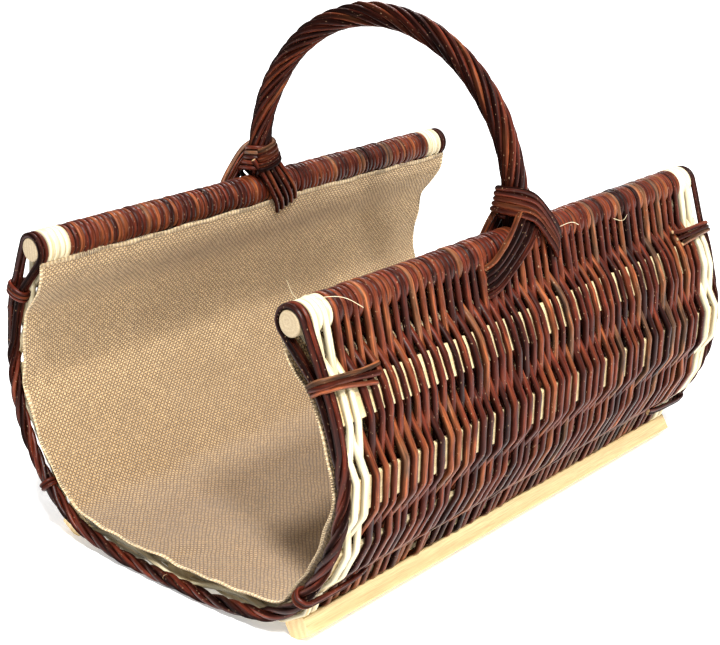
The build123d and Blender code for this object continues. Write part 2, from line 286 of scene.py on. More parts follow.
# --- Materials ----------------------------------------------------------------------------------
class Shader:
    """Small helper for building a node material."""

    def __init__(self, name):
        self.material = bpy.data.materials.new(name)
        self.material.use_nodes = True
        self.tree = self.material.node_tree
        self.principled = self.tree.nodes["Principled BSDF"]

    def node(self, kind, **settings):
        made = self.tree.nodes.new(kind)
        for key, value in settings.items():
            if key[0].isupper():
                made.inputs[key.replace("_", " ")].default_value = value
            else:
                setattr(made, key, value)
        return made

    def feed(self, socket, value):
        """Links another node's output to a socket, or sets the socket's own value."""
        if isinstance(value, bpy.types.NodeSocket):
            self.tree.links.new(value, socket)
        elif socket.type == "RGBA":
            socket.default_value = (*value, 1)
        else:
            socket.default_value = value

    def scaled(self, vector, scale):
        made = self.node("ShaderNodeVectorMath", operation="MULTIPLY")
        self.feed(made.inputs[0], vector)
        made.inputs[1].default_value = scale
        return made.outputs[0]

    def added(self, vector, other):
        made = self.node("ShaderNodeVectorMath", operation="ADD")
        self.feed(made.inputs[0], vector)
        self.feed(made.inputs[1], other)
        return made.outputs[0]

    def parts(self, vector):
        """The x, y and z of a vector."""
        made = self.node("ShaderNodeSeparateXYZ")
        self.feed(made.inputs[0], vector)
        return made.outputs

    def noise(self, vector, scale, detail=3.0, roughness=0.6, output="Fac"):
        made = self.node("ShaderNodeTexNoise", Scale=scale, Detail=detail, Roughness=roughness)
        self.feed(made.inputs["Vector"], vector)
        return made.outputs[output]

    def ramp(self, value, stops):
        """Colours, or plain numbers, between stops of (place, colour)."""
        made = self.node("ShaderNodeValToRGB")
        elements = made.color_ramp.elements
        while len(elements) < len(stops):
            elements.new(0.5)
        for element, (at, colour) in zip(elements, stops):
            element.position = at
            element.color = (*colour, 1) if isinstance(colour, tuple) else (colour, colour, colour, 1)
        self.feed(made.inputs["Fac"], value)
        return made.outputs["Color"]

    def mix(self, factor, a, b, blend="MIX"):
        made = self.node("ShaderNodeMix", data_type="RGBA", blend_type=blend)
        for index, value in ((0, factor), (6, a), (7, b)):
            self.feed(made.inputs[index], value)
        return made.outputs[2]

    def math(self, operation, a, b=0.0):
        made = self.node("ShaderNodeMath", operation=operation)
        self.feed(made.inputs[0], a)
        self.feed(made.inputs[1], b)
        return made.outputs[0]

    def attribute(self, name, output="Vector"):
        return self.node("ShaderNodeAttribute", attribute_name=name).outputs[output]

    def surface(self, colour, rough, height=None, distance=0.0002, strength=0.6, specular=0.5):
        """Feeds the surface; height is a relief of distance metres."""
        self.feed(self.principled.inputs["Base Color"], colour)
        self.feed(self.principled.inputs["Roughness"], rough)
        self.feed(self.principled.inputs["Specular IOR Level"], specular)
        if height is not None:
            bump = self.node("ShaderNodeBump", Distance=distance, Strength=strength)
            self.feed(bump.inputs["Height"], height)
            self.feed(self.principled.inputs["Normal"], bump.outputs["Normal"])
        return self.material


def bark_material():
    """Unpeeled willow, boiled dark: red-brown, streaked, with painted shade darkening its flanks, which
    are also dull, and with pale specks.
    """
    s = Shader("dark_willow_bark")
    where = s.attribute("bark")
    tone = s.attribute("tone", "Fac")
    patches = s.noise(s.scaled(where, (90, 90, 22)), 1.0, 3)
    streaks = s.noise(s.scaled(where, (900, 900, 45)), 1.0, 4, 0.65)
    specks = s.noise(s.scaled(where, (800, 800, 420)), 1.0, 1, 0.4)
    shifted = s.math("ADD", tone, s.math("MULTIPLY", s.math("SUBTRACT", patches, 0.5), 1.1))
    colour = s.ramp(shifted, [
        (0.0, (0.018, 0.003, 0.0015)),
        (0.22, (0.038, 0.006, 0.0025)),
        (0.45, (0.078, 0.012, 0.005)),
        (0.62, (0.125, 0.026, 0.009)),
        (0.80, (0.200, 0.056, 0.018)),
        (0.92, (0.150, 0.062, 0.028)),
        (1.0, (0.075, 0.034, 0.018)),
    ])
    shade = s.ramp(streaks, [(0.30, 0.28), (0.52, 1.0), (0.70, 2.2)])
    colour = s.mix(1.0, colour, shade, "MULTIPLY")
    # Painted shade: the colour is darkened towards the rod's flanks, where it lies against its
    # neighbours. The same mask also makes the flanks duller and less shiny.
    flank = s.math("DIVIDE", s.math("ABSOLUTE", s.parts(where)["X"]), ROD_RADIUS * MM)
    painted_flank_shade = s.ramp(flank, [(0.35, 1.0), (0.90, 0.14)])
    colour = s.mix(1.0, colour, painted_flank_shade, "MULTIPLY")
    speck = s.ramp(specks, [(0.71, 0.0), (0.77, 1.0)])
    colour = s.mix(s.math("MULTIPLY", speck, 0.5), colour, (0.42, 0.26, 0.15))
    colour = s.mix(s.attribute("cut", "Fac"), colour, (0.55, 0.36, 0.18))
    dull = s.math("MULTIPLY", s.math("SUBTRACT", 1.0, painted_flank_shade), 0.40)
    rough = s.math("ADD", s.math("ADD", s.math("MULTIPLY", streaks, 0.34), 0.16), dull)
    height = s.math("ADD", streaks, s.math("MULTIPLY", speck, 0.6))
    shine = s.math("MULTIPLY", painted_flank_shade, 0.17)
    return s.surface(colour, rough, height, distance=0.0003, strength=0.7, specular=shine)


def peeled_material():
    """Peeled white willow, cream with a faint straw streak and painted shade on its flanks."""
    s = Shader("peeled_willow")
    where = s.attribute("bark")
    streaks = s.noise(s.scaled(where, (700, 700, 30)), 1.0, 4, 0.6)
    patches = s.noise(s.scaled(where, (120, 120, 18)), 1.0, 2)
    colour = s.ramp(streaks, [
        (0.30, (0.50, 0.36, 0.17)),
        (0.50, (0.70, 0.60, 0.38)),
        (0.72, (0.80, 0.74, 0.54)),
    ])
    colour = s.mix(s.ramp(patches, [(0.55, 0.0), (0.75, 0.5)]), colour, (0.56, 0.40, 0.19))
    # Painted shade: the colour is darkened towards the rod's flanks, where it lies against its
    # neighbours.
    flank = s.math("DIVIDE", s.math("ABSOLUTE", s.parts(where)["X"]), PALE_RADIUS * MM)
    colour = s.mix(1.0, colour, s.ramp(flank, [(0.55, 1.0), (0.98, 0.45)]), "MULTIPLY")
    rough = s.math("ADD", s.math("MULTIPLY", streaks, 0.2), 0.35)
    return s.surface(colour, rough, streaks, strength=0.4)


def wood_material(name, light, dark, heart, ring_scale, grain=0.5):
    """Pale wood with its grain along Y: rings round a line, fine pores and a few darker streaks.

    heart is what is added to a place, in metres, to bring the rings' centre line to the origin.
    """
    s = Shader(name)
    where = s.node("ShaderNodeTexCoord").outputs["Object"]
    squeezed = s.scaled(s.added(where, heart), (1, 0.035, 1))
    rings = s.node(
        "ShaderNodeTexWave", wave_type="RINGS", rings_direction="Y",
        Scale=ring_scale, Distortion=3.0, Detail=3.0, Detail_Scale=1.4,
    )
    s.feed(rings.inputs["Vector"], squeezed)
    pores = s.noise(s.scaled(where, (1400, 40, 1400)), 1.0, 3, 0.7)
    broad = s.noise(s.scaled(where, (60, 5, 60)), 1.0, 3)
    colour = s.mix(s.math("MULTIPLY", rings.outputs["Fac"], grain), light, dark)
    darker = tuple(0.62 * share for share in dark)
    colour = s.mix(s.ramp(pores, [(0.35, 0.55), (0.60, 0.0)]), colour, darker)
    colour = s.mix(s.ramp(broad, [(0.35, 0.35), (0.65, 0.0)]), colour, dark)
    height = s.math("ADD", pores, s.math("MULTIPLY", rings.outputs["Fac"], 0.5))
    rough = s.math("ADD", s.math("MULTIPLY", pores, 0.25), 0.42)
    return s.surface(colour, rough, height, distance=0.00025, strength=0.5)


# From the cloth's right hem, over its face, to the bottom of the trough.
CLOTH_MIDDLE = 366.0


def jute_material(name, light, dark, pitch, middle_shade_share=(1.0, 1.0, 1.0)):
    """Plain-woven jute: threads over and under at pitch, slubs, and dark gaps where the threads part.

    The last argument is the share of each colour left in the middle of the trough, where the logs lie:
    painted shade, as if cast by the logs.
    """
    s = Shader(name)
    where = s.attribute("flat")
    wavy = s.noise(where, 55.0, 2.0, 0.5, "Color")
    place_on_cloth = s.parts(s.added(where, s.scaled(wavy, (0.0032, 0.0032, 0))))
    turn = pi / (pitch * MM)
    across = s.math("SINE", s.math("MULTIPLY", place_on_cloth["X"], turn))
    along = s.math("SINE", s.math("MULTIPLY", place_on_cloth["Y"], turn))
    woven = s.math("MULTIPLY", across, along)
    body = s.math("MAXIMUM", s.math("ABSOLUTE", across), s.math("ABSOLUTE", along))
    gap = s.ramp(body, [(0.54, 1.0), (0.84, 0.0)])
    thin = s.noise(s.scaled(where, (90, 520, 1)), 1.0, 3, 0.65)
    thick = s.noise(s.scaled(where, (520, 90, 1)), 1.0, 3, 0.65)
    broad = s.noise(where, 14.0, 3)
    hairs = s.noise(s.scaled(where, (2600, 2600, 1)), 1.0, 2, 0.8)
    colour = s.mix(s.ramp(s.math("ADD", woven, 0.5), [(0.1, 0.0), (0.9, 1.0)]), dark, light)
    darker = tuple(0.72 * share for share in dark)
    lighter = tuple(min(1.0, 1.18 * share) for share in light)
    colour = s.mix(s.ramp(thin, [(0.35, 0.5), (0.6, 0.0)]), colour, darker)
    colour = s.mix(s.ramp(thick, [(0.5, 0.0), (0.75, 0.55)]), colour, lighter)
    colour = s.mix(s.ramp(broad, [(0.3, 0.25), (0.7, 0.0)]), colour, dark)
    colour = s.mix(s.math("MULTIPLY", gap, 0.95), colour, (0.10, 0.055, 0.022))
    colour = s.mix(s.ramp(hairs, [(0.55, 0.0), (0.8, 0.4)]), colour, light)
    # Painted shade: the colour darkens towards the middle of the trough, as if shaded by logs lying
    # there.
    from_middle = s.math("ABSOLUTE", s.math("SUBTRACT", place_on_cloth["X"], CLOTH_MIDDLE * MM))
    painted_middle_shade = s.ramp(s.math("DIVIDE", from_middle, CLOTH_MIDDLE * MM), [(0.20, middle_shade_share), (0.80, 1.0)])
    colour = s.mix(1.0, colour, painted_middle_shade, "MULTIPLY")
    height = s.math("ADD", s.math("MULTIPLY", woven, 0.5), s.math("SUBTRACT", body, gap))
    s.principled.inputs["Sheen Weight"].default_value = 0.25
    s.principled.inputs["Sheen Roughness"].default_value = 0.6
    return s.surface(colour, 0.92, height, distance=0.0007, strength=0.8, specular=0.15)


def steel_material():
    """Bright screws with slightly duller spots."""
    s = Shader("screw_steel")
    where = s.node("ShaderNodeTexCoord").outputs["Object"]
    worn = s.noise(where, 900.0, 3)
    colour = s.ramp(worn, [(0.35, (0.32, 0.31, 0.28)), (0.65, (0.62, 0.60, 0.54))])
    s.principled.inputs["Metallic"].default_value = 1.0
    rough = s.math("ADD", s.math("MULTIPLY", worn, 0.3), 0.25)
    return s.surface(colour, rough, worn, distance=0.0001, strength=0.3)


BARK = bark_material()
PEELED = peeled_material()
SLAT_WOOD = wood_material(
    "slat_wood", light=(0.80, 0.67, 0.40), dark=(0.56, 0.38, 0.17),
    heart=(0.31, 0, 0.27), ring_scale=38.0,
)
RAIL_WOOD = wood_material(
    "rail_wood", light=(0.46, 0.36, 0.22), dark=(0.30, 0.22, 0.12),
    heart=((1.5 - RAIL_X) * MM, 0, -(RAIL_Z + 1.5) * MM), ring_scale=95.0,
)
RUNNER_WOOD = wood_material(
    "runner_wood", light=(0.86, 0.67, 0.34), dark=(0.66, 0.42, 0.18),
    heart=(0.02, 0, 0.03), ring_scale=48.0, grain=0.65,
)
# The cloth's colour gets painted shade in the middle of the trough, as from logs lying there.
JUTE = jute_material(
    "jute_cloth", light=(0.84, 0.595, 0.315), dark=(0.28, 0.165, 0.062),
    pitch=2.15, middle_shade_share=(0.52, 0.45, 0.35),
)
JUTE_HEM = jute_material("jute_hem", light=(0.78, 0.59, 0.35), dark=(0.40, 0.28, 0.14), pitch=1.9)
STEEL = steel_material()


# --- Weave --------------------------------------------------------------------------------------
RODS_PER_BAY = 10
PALE_RODS = 4
# A weaving rod bends this far to either side of a slat's middle.
SLAT_EDGE = 14.0
# How far a rod wanders along the rails from slat to slat, and how far each bend reaches.
WEAVER_LEAN = 0.75
WEAVER_KINK = 5.0
# How much nearer to the rail the first points of a rod's tucked end lie.
TUCK = np.array((1.6, 1.0, 0.5, 0.15))
# How far the border bows away from the weave between the rails, and the pale rods bow after it.
BOW = {"front": 4.5, "back": 0.0}
# Most rods are red-brown, some nearly black, some orange and a few greyish.
TONES = (0.08, 0.25, 0.4, 0.52, 0.64, 0.78, 0.95)
TONE_SHARES = (0.08, 0.18, 0.24, 0.22, 0.16, 0.08, 0.04)


def leave_angle(side, outer, point):
    """Where a straight rod from a point meets the circle of rods round a rail."""
    dx, dz = point[0] - side * RAIL_X, point[1] - RAIL_Z
    half = acos(WRAP_RADIUS / hypot(dx, dz))
    return atan2(dz, dx) + (half if outer == (side > 0) else -half)


def wrap(side, outer, point, past):
    """Points over a rail, from the tip tucked past its far side to where the rod leaves for point."""
    leave = leave_angle(side, outer, point)
    clockwise = outer == (side > 0)
    tip = radians(180 + past) if clockwise else radians(-past)
    leave = (leave + pi) % (2 * pi) - pi if clockwise else leave % (2 * pi)
    angles = np.linspace(tip, leave, 16)
    reach = np.full(16, WRAP_RADIUS)
    reach[:len(TUCK)] -= TUCK
    return np.stack([side * RAIL_X + reach * np.cos(angles), RAIL_Z + reach * np.sin(angles)], axis=1)


def weaver_line(starts_outside, radius, y):
    """Centre line of a weaving rod; it leans a little one way or the other at each slat."""
    crest = SLAT_HALF + radius + 0.1
    corners, places = [], []
    for index in range(len(SLAT_NAMES)):
        outward = crest if (index % 2 == 1) == starts_outside else -crest
        outward += random.normal(0, 0.22)
        lean = y + random.normal(0, WEAVER_LEAN)
        for along in (-SLAT_EDGE, SLAT_EDGE):
            corners.append(slat_point(index, along + random.normal(0, 1.2), outward))
            places.append(lean + random.normal(0, 0.3))
    first = wrap(1, starts_outside, corners[0], random.uniform(55, 85))
    last = wrap(-1, starts_outside, corners[-1], random.uniform(55, 85))
    section = kinked(np.array(corners), WEAVER_KINK)
    spread = kinked(np.stack([lengths(np.array(corners)), places], axis=1), WEAVER_KINK)[:, 1]
    line = np.vstack([in_space(first, y), in_space(section, y), in_space(last[::-1], y)])
    line[len(first):-len(last), 1] = spread
    return rounded(line, 2)


def between_rails(along):
    """0 near both ends of a line from rail to rail, 1 over the rest of it."""
    share = along / along[-1]
    rise = np.clip((np.minimum(share, 1 - share) - 0.1) / 0.15, 0, 1)
    return rise * rise * (3 - 2 * rise)


def weaver(bundle, number, y, radius, tone, wide, buds=1.0, bow=0.0):
    """One weaving rod, over a rail, in and out of the slats and over the other rail."""
    line = weaver_line(number % 2 == 0, radius, y)
    along = lengths(line)
    line[:, 1] += wander(along, 0.3, 170) + bow * between_rails(along)
    bundle.rod(line, radius, tone, wide, buds=buds, step=2.6)


def rod_rows(node, count):
    """Y of each rod in a CAD node of weavers."""
    low, high = box(node)
    return np.linspace(low[1] + CAD_ROD / 2, high[1] - CAD_ROD / 2, count)


def rod_tone():
    return float(random.choice(TONES, p=TONE_SHARES))


def build_weave():
    """Nine bays of dark rods and the pale rods at both ends."""
    for bay in range(1, 10):
        node = f"dark_weavers_{bay}"
        bundle = Bundle()
        flattest = 1.42 if bay < 5 else 1.5
        for number, y in enumerate(rod_rows(node, RODS_PER_BAY)):
            radius = ROD_RADIUS * random.uniform(0.84, 1.02)
            weaver(bundle, number, y, radius, rod_tone(), random.uniform(flattest - 0.22, flattest))
        bundle.piece(f"weave_dark_{bay}", BARK, "dark_willow", node)
    for end in ("front", "back"):
        node = f"pale_weavers_{end}"
        bundle = Bundle()
        for number, y in enumerate(rod_rows(node, PALE_RODS)):
            radius = PALE_RADIUS * random.uniform(0.95, 1.08)
            weaver(bundle, number, y, radius, tone=0.5, wide=1.35, buds=0.3, bow=-0.8 * BOW[end])
        bundle.piece(f"weave_pale_{end}", PEELED, "peeled_willow", node)


# --- Borders and their ties ---------------------------------------------------------------------
BORDER_TURNS = 8
BORDER_RADIUS = 2.4
# From the middle between a border's two strands to either of them.
BORDER_APART = 2.3
# How far the border stands outside each slat's centre, from the upper right round to the upper left.
BORDER_BULGE = {
    "front": (3.5, 4.0, 3.5, 3.0, 3.8, 3.8, 3.8, 2.4, 3.4, 6.2, 5.8),
    "back": (0.4, 2.6, 5.5, 5.5, 3.5, 2.0, 2.0, 2.0, 2.4, 2.0, 1.0),
}
# The rods at the back are thinner ones than at the front.
BORDER_SIZE = {"front": 1.0, "back": 0.72}
# Where the two strands part below a rail, as a share of the way from the rail to the first slat.
NECK = 0.62
# Below each rail the strands hang further apart, and are laid together from this share of their length.
LEG_SHARE = 0.08
LEG_SPREAD = 1.2


def border_strand(out, away, y, sign, end_name):
    """One strand of the loose rope along the trough's edge, from the right neck to the left one."""
    bulges = BORDER_BULGE[end_name]
    middle = [between(0, NECK, bulges[0])]
    middle += [slat_point(index, 0, bulge) for index, bulge in enumerate(bulges)]
    middle.append(between(LAST_GAP, 1 - NECK, bulges[-1]))
    line = spaced(rounded(middle, 3), 4.0)
    along = lengths(line)
    tangents = np.gradient(line, axis=0)
    tangents /= np.linalg.norm(tangents, axis=1)[:, None]
    normals = np.stack([-tangents[:, 1], tangents[:, 0]], axis=1)
    laid = np.clip((along / along[-1] - LEG_SHARE) / (1 - 2 * LEG_SHARE), 0, 1)
    turn = sign * 2 * pi * BORDER_TURNS * laid + wander(along, 0.25, 260) * np.sin(pi * laid)
    hanging = 1 - np.clip(np.minimum(along, along[-1] - along) / (LEG_SHARE * along[-1]), 0, 1)
    apart = out * (1 + LEG_SPREAD * hanging) + wander(along, 0.3, 120)
    points = np.empty((len(line), 3))
    points[:, [0, 2]] = line + normals * (apart * np.cos(turn) - away * np.sin(turn))[:, None]
    points[:, 1] = y + apart * np.sin(turn) + away * np.cos(turn)
    points[:, 1] += sign * BOW[end_name] * between_rails(along)
    return points


def rail_loop(side, start, finish, y):
    """Over the top of a rail, between the points where two strands leave it."""
    outer_first = abs(start[0]) > abs(finish[0])
    begin = leave_angle(side, outer_first, (start[0], start[2]))
    end = leave_angle(side, not outer_first, (finish[0], finish[2]))
    begin, end = [(a + pi / 2) % (2 * pi) - pi / 2 for a in (begin, end)]
    angles = np.linspace(begin, end, 14)
    x = side * RAIL_X + WRAP_RADIUS * np.cos(angles)
    z = RAIL_Z + WRAP_RADIUS * np.sin(angles)
    return np.stack([x, np.full(14, float(y)), z], axis=1)


def build_border(end_name, sign):
    """Two rods, each a closed loop over both rails and twice along the edge of the trough."""
    rows = [centre(f"border_{end_name}_{n}")[1] for n in (1, 2)]
    middle = sum(rows) / 2
    size = BORDER_SIZE[end_name]
    for n, row in enumerate(rows, start=1):
        away = (row - middle) * size
        y = middle + away
        outer = border_strand(BORDER_APART * size, away, middle, sign, end_name)
        inner = border_strand(-BORDER_APART * size, away, middle, sign, end_name)
        half = len(inner) // 2
        loop = [
            inner[half::-1],
            rail_loop(1, inner[0], outer[0], y),
            outer,
            rail_loop(-1, outer[-1], inner[-1], y),
            inner[:half - 1:-1],
        ]
        bundle = Bundle()
        bundle.rod(rounded(np.vstack(loop), 1), BORDER_RADIUS * size, rod_tone(), taper=0.04, step=2.5)
        bundle.piece(f"border_rope_{end_name}_{n}", BARK, "dark_willow", f"border_{end_name}_{n}")


# Places of a tie's rods beside each other, and half its width round the border.
RAIL_TIE = {"shifts": (-3.4, 0.2, 3.4), "half": 8.2}
CORNER_TIE = {"shifts": (-1.9, 1.9), "half": 5.2}
TIE_RADIUS = 2.0
# A tie by a rail droops this far from the weave to the border; at the back it doesn't.
TIE_DROOP = 6.0


def tie_rod(bundle, index, fraction, sign, shift, tip, front, droop, inner, outer):
    """A rod from the outside of the weave round the border's front to its inside.

    tip and front are its ends along the rails; inner and outer are its sides round the border.
    """
    tangent = unit(STATIONS[index + 1] - STATIONS[index])
    route = [
        (7.2, tip, 0.9),
        (9.0, tip + 8, 0.5),
        (10.0, tip + 24, 0.1),
        (outer + 1.8, front - 12, 0),
        (outer + 1.0, front - 3, 0),
        (outer - 4.0, front, 0),
        (inner + 4.0, front, 0),
        (inner - 1.0, front - 3, 0),
        (inner - 1.4, front - 8, 0),
        (inner + 1.0, front - 11, 0),
    ]
    points = []
    for out, y, drift in route:
        x, z = between(index, fraction, out)
        slide = shift * (1 + drift) + random.normal(0, 0.25) + droop * (front - y) / (front - tip)
        points.append((x + slide * tangent[0], sign * y, z + slide * tangent[1]))
    radius = TIE_RADIUS * random.uniform(0.93, 1.05)
    bundle.rod(rounded(points, 3), radius, rod_tone(), step=2.0, taper=0.06)


def build_ties(end_name, sign):
    """Four ties at one end: below both rails and at both lower corners."""
    rail_droop = TIE_DROOP if end_name == "front" else 0.0
    for place_name, index, fraction, tie, droop in (
        ("rail_right", 0, 0.72, RAIL_TIE, rail_droop),
        ("corner_right", 3, 0.5, CORNER_TIE, 0.0),
        ("corner_left", LAST_GAP - 3, 0.5, CORNER_TIE, 0.0),
        ("rail_left", LAST_GAP, 0.28, RAIL_TIE, -rail_droop),
    ):
        node = f"tie_{end_name}_{place_name}"
        low, high = box(node)
        near, far = sorted((abs(low[1]), abs(high[1])))
        front = far - 2.1 + (BOW[end_name] if tie is CORNER_TIE else 0)
        middle = BORDER_BULGE[end_name][min(index, len(SLAT_NAMES) - 1)]
        half = tie["half"] * BORDER_SIZE[end_name]
        bundle = Bundle()
        for shift, later in zip(tie["shifts"], (0, 4, 9)):
            tip = near + later + random.uniform(-2, 2)
            inner, outer = middle - half, middle + half
            tie_rod(bundle, index, fraction, sign, shift, tip, front, droop, inner, outer)
        bundle.piece(f"tie_rods_{end_name}_{place_name}", BARK, "dark_willow", node)


# --- Handle -------------------------------------------------------------------------------------
HANDLE_STRANDS = 9
# Length over which a strand goes once round the core, and the radius of the circle it goes on.
HANDLE_LAY = 165.0
STRAND_CIRCLE = 7.55
# The bow leans this far to the right at its top.
HANDLE_LEAN = 2.8


def bow_line():
    """Centre line of the handle from the right foot to the left one, with its outward directions."""
    low, high = box("handle_core")
    core_radius = (high[1] - low[1]) / 2
    middle_y = centre("handle_core")[1]
    radius = high[0] - core_radius
    centre_z = high[2] - core_radius - radius
    angles = np.linspace(0, pi, 90)
    arc = np.stack([radius * np.cos(angles), centre_z + radius * np.sin(angles)], axis=1)
    leg = np.array([(radius, middle_y, z) for z in np.linspace(low[2], centre_z, 8)[:-1]])
    line = spaced(np.vstack([leg, in_space(arc, middle_y), (leg * (-1, 1, 1))[::-1]]), 3.0)
    outward = line - np.array((0, middle_y, centre_z))
    outward[:, 2] = np.maximum(outward[:, 2], 0)
    outward[:, 1] = 0
    outward /= np.linalg.norm(outward, axis=1)[:, None]
    line[:, 0] += HANDLE_LEAN * np.clip((line[:, 2] - centre_z) / radius, 0, 1)
    return line, outward


def build_handle():
    """Nine strands laid round the core, which keeps its CAD shape."""
    line, outward = bow_line()
    along = lengths(line)
    for number in range(HANDLE_STRANDS):
        turn = 2 * pi * (number / HANDLE_STRANDS + along / HANDLE_LAY) + wander(along, 0.035, 150)
        reach = STRAND_CIRCLE + wander(along, 0.22, 90)
        points = line + outward * (reach * np.cos(turn))[:, None]
        points[:, 1] += reach * np.sin(turn)
        bundle = Bundle()
        radius = ROD_RADIUS * random.uniform(0.93, 1.12)
        bundle.rod(points, radius, rod_tone() * 0.9 + 0.05, taper=0.1, sides=12, step=2.5)
        bundle.piece(f"handle_rod_{number + 1}", BARK, "dark_willow", f"handle_strand_{number + 1}")
    carry("handle_core", BARK)


# --- Lashings of the handle ---------------------------------------------------------------------
# Each band is drawn for the right rail by the routes of the first and the last of its rods, as
# (outward from the rail's centre, along the rail, above the rail's centre).
CROSSING_BAND = (
    ((-3.0, 3.0, 38.5), (-3.0, 3.0, 21.5)),
    ((-9.5, 8.5, 38.5), (-10.5, 9.5, 21.8)),
    ((-14.8, 12.0, 39.0), (-17.5, 16.0, 22.0)),
    ((-15.8, 2.0, 41.0), (-19.0, 2.0, 23.5)),
    ((-12.5, -10.5, 44.0), (-16.0, -13.5, 27.5)),
    ((-1.0, -14.5, 46.0), (-2.0, -20.5, 29.5)),
    ((8.0, -11.5, 45.5), (9.0, -17.5, 28.0)),
    ((13.0, -3.0, 42.5), (15.5, -8.0, 25.0)),
    ((15.2, 7.5, 36.5), (18.2, 3.0, 19.5)),
    ((18.4, 19.0, 22.0), (20.2, 14.0, 5.5)),
    ((19.8, 30.0, 6.5), (21.6, 25.0, -8.5)),
    ((17.4, 34.5, -1.5), (18.8, 29.5, -15.0)),
)
LOWER_BAND = (
    ((14.5, -60.0, -6.5), (18.0, -60.0, -28.0)),
    ((18.4, -53.0, -2.0), (22.0, -54.0, -25.0)),
    ((18.8, -40.0, 8.0), (21.0, -34.0, -14.5)),
    ((16.4, -26.0, 18.0), (19.0, -8.0, 0.0)),
    ((12.2, -14.0, 27.0), (14.5, 8.0, 12.0)),
    ((9.5, 3.0, 36.0), (10.5, 15.0, 20.5)),
    ((2.0, 12.5, 41.0), (1.0, 17.5, 23.5)),
    ((-7.5, 11.5, 41.5), (-8.5, 16.5, 23.5)),
    ((-12.4, 3.0, 40.5), (-14.0, 5.0, 22.5)),
    ((-12.2, -5.0, 40.0), (-13.6, -5.0, 22.0)),
    ((-8.0, -8.5, 39.5), (-8.5, -8.5, 21.0)),
    ((-2.0, -2.0, 39.0), (-2.0, -2.0, 20.0)),
)
INNER_LEG = (
    ((-10.5, 16.0, 31.0), (-10.0, -9.0, 31.0)),
    ((-14.6, 12.5, 21.0), (-14.5, -15.0, 20.5)),
    ((-18.0, 4.0, 3.0), (-18.0, -22.0, 6.5)),
    ((-17.0, -5.0, -14.0), (-17.6, -28.5, -4.0)),
    ((-12.5, -9.0, -22.0), (-13.5, -32.0, -13.0)),
)
RODS_PER_BAND = 5
LASHING_RADIUS = 2.3


def lash_rods(bundle, band, side):
    """Five rods between a band's two edges; the left rail's is the right one turned half round."""
    first = np.array([edge[0] for edge in band], float)
    last = np.array([edge[1] for edge in band], float)
    for k in range(RODS_PER_BAND):
        share = k / (RODS_PER_BAND - 1)
        line = first + (last - first) * share
        line = np.stack([side * (RAIL_X + line[:, 0]), side * line[:, 1], RAIL_Z + line[:, 2]], axis=1)
        line = rounded(line + random.normal(0, 0.18, line.shape), 3)
        radius = LASHING_RADIUS * random.uniform(0.95, 1.08)
        bundle.rod(line, radius, rod_tone(), step=1.8, taper=0.05, buds=1.6)


def build_lashings():
    for side, side_name in ((1, "right"), (-1, "left")):
        for piece, node, band in (
            ("collar_band", "collar", CROSSING_BAND),
            ("lower_band", "outside", LOWER_BAND),
            ("inner_leg", "inside", INNER_LEG),
        ):
            bundle = Bundle()
            lash_rods(bundle, band, side)
            name = f"lashing_{piece}_{side_name}"
            bundle.piece(name, BARK, "dark_willow", f"lashing_{side_name}_{node}")


SHRED_RADIUS = 0.24
# Hair-thin shreds of pale willow that stick out of the right rail's wrapping, each as (outward from
# the rail's centre, along the rail, above the rail's centre).
SHREDS = (
    ((-13.0, -10.0, 22.0), (2.0, -11.0, 32.0), (13.0, 4.0, 41.0)),
    ((16.0, -32.0, -6.0), (20.5, -22.0, -3.0), (19.0, -12.0, 4.0)),
    ((-8.0, -243.0, 12.0), (-3.0, -253.0, 20.0), (-1.0, -259.0, 31.0)),
    ((6.0, -238.0, 14.5), (16.0, -222.0, 14.0), (20.0, -206.0, 2.0)),
    ((15.0, 38.0, 6.0), (19.5, 50.0, 9.0), (18.0, 62.0, 3.0)),
    ((16.0, 118.0, -4.0), (20.0, 127.0, -8.0), (18.0, 136.0, -4.0)),
)


def build_shreds():
    bundle = Bundle()
    for shred in SHREDS:
        line = rounded(np.array(shred) + (RAIL_X, 0, RAIL_Z), 3)
        bundle.rod(line, SHRED_RADIUS, 0.5, taper=0.3, sides=5, step=1.0, buds=0)
    bundle.piece("loose_shreds", PEELED, "peeled_willow")


# --- Liner --------------------------------------------------------------------------------------
# From the slats' middle inward to the cloth, the spacing of its points, how much longer than the CAD
# liner it is at each end, and its thickness.
CLOTH_DEPTH = 8.6
CLOTH_STEP = 3.0
CLOTH_OVERHANG = 12.0
CLOTH_THICKNESS = 1.1


def cloth_section():
    """Middle of the cloth in the cross-section, from the right hem to the left, with two directions."""
    high = box("liner")[1]
    top = (RAIL_X - RAIL_RADIUS + 1.0, high[2] + 6.0)
    corners = [top, (top[0] + 4.5, top[1] - 18.0)]
    for index in range(len(SLAT_NAMES)):
        corners += [slat_point(index, along, -CLOTH_DEPTH) for along in (-9, 9)]
    corners += [(-x, z) for x, z in corners[1::-1]]
    line = spaced(rounded(corners, 3), CLOTH_STEP)
    tangents = np.gradient(line, axis=0)
    tangents /= np.linalg.norm(tangents, axis=1)[:, None]
    return line, tangents, np.stack([tangents[:, 1], -tangents[:, 0]], axis=1)


def waves(u, v, wave, count=5):
    """Smooth random relief over the cloth, from -1 to 1."""
    total = np.zeros_like(u)
    for _ in range(count):
        angle = random.uniform(0, pi)
        length = wave * random.uniform(0.7, 1.5)
        total += np.sin(2 * pi * (u * cos(angle) + v * sin(angle)) / length + random.uniform(0, 2 * pi))
    return total / count


